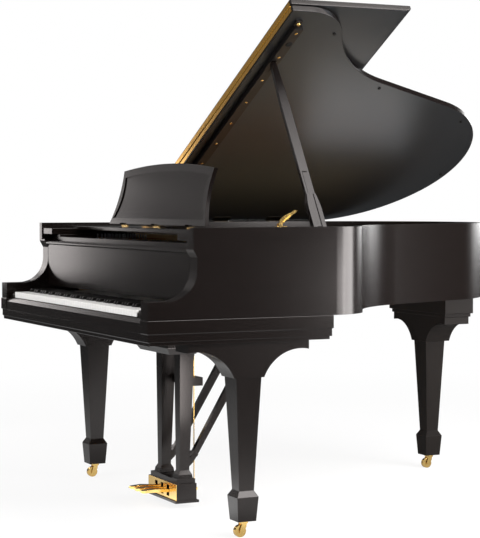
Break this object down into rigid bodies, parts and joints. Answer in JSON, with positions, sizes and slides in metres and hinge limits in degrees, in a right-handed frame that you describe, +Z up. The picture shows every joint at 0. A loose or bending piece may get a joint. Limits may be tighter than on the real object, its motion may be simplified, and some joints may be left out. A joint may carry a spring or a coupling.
{
  "type": "grand piano",
  "caption": "Black lacquered grand piano with its curved lid raised on a stick, music desk, keyboard, strung iron plate, pedal lyre and tapered legs on brass casters.",
  "frame": {"origin": "middle of the piano's box, on the floor under the casters", "axes": "+X towards the treble side, +Y from the keyboard to the tail, +Z up"},
  "size_m": [1.496, 1.8346, 1.7732],
  "materials": {
    "lacquer": "satin black lacquer",
    "spruce": "clear varnish",
    "plate": "gold bronze paint",
    "steel": "bright drawn wire",
    "felt": "pressed felt",
    "white_key": "polished",
    "black_key": "satin",
    "rubber": "matt",
    "brass": "polished"
  },
  "bodies": {
    "case": {"base_moulding": "lacquer", "case_frame": "spruce", "catch_base": "brass", "inner_rim": "spruce", "iron_plate": "plate", "key_blocks": "lacquer", "key_slip": "lacquer", "keybed": "lacquer", "leg_front_left": "lacquer", "leg_front_right": "lacquer", "leg_rear": "lacquer", "lid_hinges_case": "brass", "lyre_braces": "lacquer", "lyre_head": "lacquer", "lyre_posts": "lacquer", "outer_rim": "lacquer", "pedal_box": "lacquer", "pedal_plate": "brass", "prop_bracket": "brass", "soundboard": "spruce", "strings": "steel", "tray_rails": "lacquer", "tuning_pins": "steel"},
    "action": {"action_frame": "spruce", "hammers": "felt"},
    "keys_bass": {"white_keys_bass": "white_key", "black_keys_bass": "black_key"},
    "keys_middle": {"white_keys_middle": "white_key", "black_keys_middle": "black_key"},
    "keys_treble": {"white_keys_treble": "white_key", "black_keys_treble": "black_key"},
    "dampers": {"dampers": "felt"},
    "fallboard": {"fallboard": "lacquer"},
    "tray": {"music_tray": "lacquer", "desk_hinges": "brass"},
    "desk": {"music_desk": "lacquer"},
    "strut": {"desk_strut": "lacquer"},
    "lid": {"main_lid": "lacquer", "flap_hinge_lid_leaf": "brass", "lid_bar": "lacquer", "lid_screws": "brass", "lid_buffers": "rubber", "lid_hinges_lid": "brass"},
    "flap": {"front_flap": "lacquer", "flap_hinge_flap_leaf": "brass"},
    "stick": {"prop_stick": "lacquer"},
    "half_stick": {"half_stick": "lacquer"},
    "catch": {"catch_lever": "brass"},
    "pedal_soft": {"pedal_soft": "brass"},
    "pedal_sostenuto": {"pedal_sostenuto": "brass"},
    "pedal_damper": {"pedal_damper": "brass"},
    "rod_soft": {"rod_soft": "steel"},
    "rod_sostenuto": {"rod_sostenuto": "steel"},
    "rod_damper": {"rod_damper": "steel"},
    "caster_front_left": {"caster_fork_front_left": "brass"},
    "wheel_front_left": {"caster_wheel_front_left": "brass"},
    "caster_front_right": {"caster_fork_front_right": "brass"},
    "wheel_front_right": {"caster_wheel_front_right": "brass"},
    "caster_rear": {"caster_fork_rear": "brass"},
    "wheel_rear": {"caster_wheel_rear": "brass"}
  },
  "joints": [
    {"name": "action_shift", "type": "slide", "parent": "case", "child": "action", "axis": [1, 0, 0], "range_m": [0, 0.00299]},
    {"name": "keys_bass_dip", "type": "hinge", "parent": "action", "child": "keys_bass", "pos_m": [0.00903, -0.70235, 0.718], "axis": [1, 0, 0], "range_deg": [0, 2.9], "stiffness_Nm_per_rad": 40, "springref_deg": -3.44},
    {"name": "keys_middle_dip", "type": "hinge", "parent": "action", "child": "keys_middle", "pos_m": [0.00903, -0.70235, 0.718], "axis": [1, 0, 0], "range_deg": [0, 2.9], "stiffness_Nm_per_rad": 40, "springref_deg": -3.44},
    {"name": "keys_treble_dip", "type": "hinge", "parent": "action", "child": "keys_treble", "pos_m": [0.00903, -0.70235, 0.718], "axis": [1, 0, 0], "range_deg": [0, 2.9], "stiffness_Nm_per_rad": 40, "springref_deg": -3.44},
    {"name": "dampers_lift", "type": "slide", "parent": "case", "child": "dampers", "axis": [0, 0, 1], "range_m": [0, 0.0062]},
    {"name": "fallboard_turn", "type": "hinge", "parent": "case", "child": "fallboard", "pos_m": [0.00903, -0.73635, 0.778], "axis": [1, 0, 0], "range_deg": [0, 88]},
    {"name": "tray_slide", "type": "slide", "parent": "case", "child": "tray", "axis": [0, 1, 0], "range_m": [0, 0.045]},
    {"name": "desk_fold", "type": "hinge", "parent": "tray", "child": "desk", "pos_m": [0.00903, -0.57235, 1.0035], "axis": [1, 0, 0], "range_deg": [-76, 0]},
    {"name": "strut_fold", "type": "hinge", "parent": "desk", "child": "strut", "pos_m": [0.00903, -0.54815, 1.10053], "axis": [1, 0, 0], "range_deg": [0, 152.5]},
    {"name": "lid_lift", "type": "hinge", "parent": "case", "child": "lid", "pos_m": [-0.72747, 0.03265, 1.014], "axis": [0, -1, 0], "range_deg": [0, 40]},
    {"name": "flap_fold", "type": "hinge", "parent": "lid", "child": "flap", "pos_m": [-0.09413, -0.31635, 1.39072], "axis": [0.876, 0, 0.4824], "range_deg": [0, 176]},
    {"name": "stick_fold", "type": "hinge", "parent": "case", "child": "stick", "pos_m": [0.69203, -0.26735, 0.966], "axis": [0, 1, 0], "range_deg": [-59.3, 0]},
    {"name": "half_stick_fold", "type": "hinge", "parent": "stick", "child": "half_stick", "pos_m": [0.66892, -0.26735, 1.01275], "axis": [0, 1, 0], "range_deg": [0, 90]},
    {"name": "catch_turn", "type": "hinge", "parent": "case", "child": "catch", "pos_m": [0.72403, -0.44335, 1.016], "axis": [1, 0, 0], "range_deg": [-38, 45]},
    {"name": "pedal_soft_press", "type": "hinge", "parent": "case", "child": "pedal_soft", "pos_m": [-0.04396, -0.50735, 0.056], "axis": [1, 0, 0], "range_deg": [0, 6], "stiffness_Nm_per_rad": 40, "springref_deg": -3.44},
    {"name": "rod_soft_lift", "type": "slide", "parent": "case", "child": "rod_soft", "axis": [0, 0, 1], "range_m": [0, 0.0062]},
    {"name": "pedal_sostenuto_press", "type": "hinge", "parent": "case", "child": "pedal_sostenuto", "pos_m": [0.00903, -0.50735, 0.056], "axis": [1, 0, 0], "range_deg": [0, 6], "stiffness_Nm_per_rad": 40, "springref_deg": -3.44},
    {"name": "rod_sostenuto_lift", "type": "slide", "parent": "case", "child": "rod_sostenuto", "axis": [0, 0, 1], "range_m": [0, 0.0062]},
    {"name": "pedal_damper_press", "type": "hinge", "parent": "case", "child": "pedal_damper", "pos_m": [0.06203, -0.50735, 0.056], "axis": [1, 0, 0], "range_deg": [0, 6], "stiffness_Nm_per_rad": 40, "springref_deg": -3.44},
    {"name": "rod_damper_lift", "type": "slide", "parent": "case", "child": "rod_damper", "axis": [0, 0, 1], "range_m": [0, 0.0062]},
    {"name": "caster_front_left_swivel", "type": "hinge", "parent": "case", "child": "caster_front_left", "pos_m": [-0.66297, -0.55435, 0.054], "axis": [0, 0, 1], "continuous": true},
    {"name": "wheel_front_left_roll", "type": "hinge", "parent": "caster_front_left", "child": "wheel_front_left", "pos_m": [-0.66297, -0.56635, 0.02], "axis": [1, 0, 0], "continuous": true},
    {"name": "caster_front_right_swivel", "type": "hinge", "parent": "case", "child": "caster_front_right", "pos_m": [0.68103, -0.55435, 0.054], "axis": [0, 0, 1], "continuous": true},
    {"name": "wheel_front_right_roll", "type": "hinge", "parent": "caster_front_right", "child": "wheel_front_right", "pos_m": [0.68103, -0.56635, 0.02], "axis": [1, 0, 0], "continuous": true},
    {"name": "caster_rear_swivel", "type": "hinge", "parent": "case", "child": "caster_rear", "pos_m": [-0.27297, 0.76265, 0.054], "axis": [0, 0, 1], "continuous": true},
    {"name": "wheel_rear_roll", "type": "hinge", "parent": "caster_rear", "child": "wheel_rear", "pos_m": [-0.27297, 0.75065, 0.02], "axis": [1, 0, 0], "continuous": true}
  ],
  "couplings": [
    {"joint": "strut_fold", "follows": "desk_fold", "ratio": -2},
    {"joint": "pedal_soft_press", "follows": "action_shift", "rad_per_m": 35},
    {"joint": "rod_soft_lift", "follows": "action_shift", "ratio": 2.03},
    {"joint": "rod_sostenuto_lift", "follows": "pedal_sostenuto_press", "m_per_rad": 0.058},
    {"joint": "rod_damper_lift", "follows": "pedal_damper_press", "m_per_rad": 0.058},
    {"joint": "dampers_lift", "follows": "pedal_damper_press", "m_per_rad": 0.058}
  ]
}
